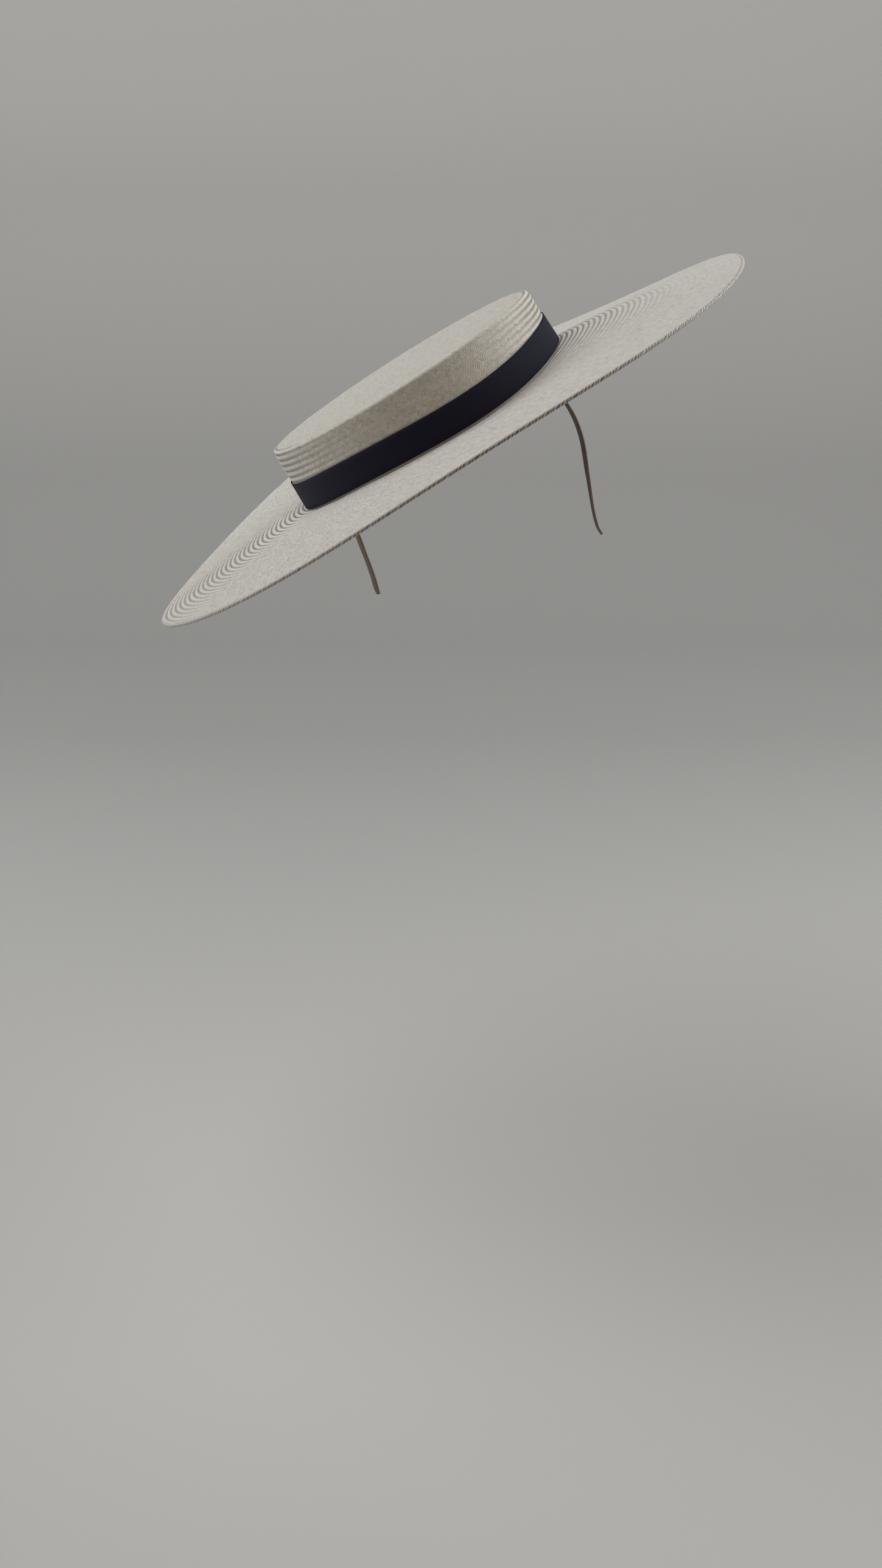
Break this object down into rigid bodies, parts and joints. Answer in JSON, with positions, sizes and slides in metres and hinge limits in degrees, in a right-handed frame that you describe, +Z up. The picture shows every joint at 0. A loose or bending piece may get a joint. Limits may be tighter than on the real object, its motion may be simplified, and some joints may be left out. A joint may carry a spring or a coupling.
{
  "type": "straw boater hat on a headband",
  "caption": "Wide-brimmed straw boater with a flat oval crown and a plain dark ribbon, perched on a narrow spring headband that holds it tipped to one side",
  "frame": {"origin": "inside face of the headband's arch, at its top, where the hat rests on the top of the head", "axes": "+Z up as worn, the wearer faces -Y, +X to the wearer's left; the hat keeps the tip towards -X that it is worn with"},
  "size_m": [0.3403, 0.4198, 0.2121],
  "materials": {
    "straw": "fine herringbone-woven straw, bleached pale, stiffened, with a faint sheen on the strands",
    "ribbon": "matte navy-black grosgrain ribbon with fine cross ribs",
    "band_covering": "taupe satin wrapped over a flat spring strip"
  },
  "bodies": {
    "root": {"crown": "straw", "brim": "straw", "ribbon_band": "ribbon", "headband": "band_covering"}
  },
  "joints": []
}
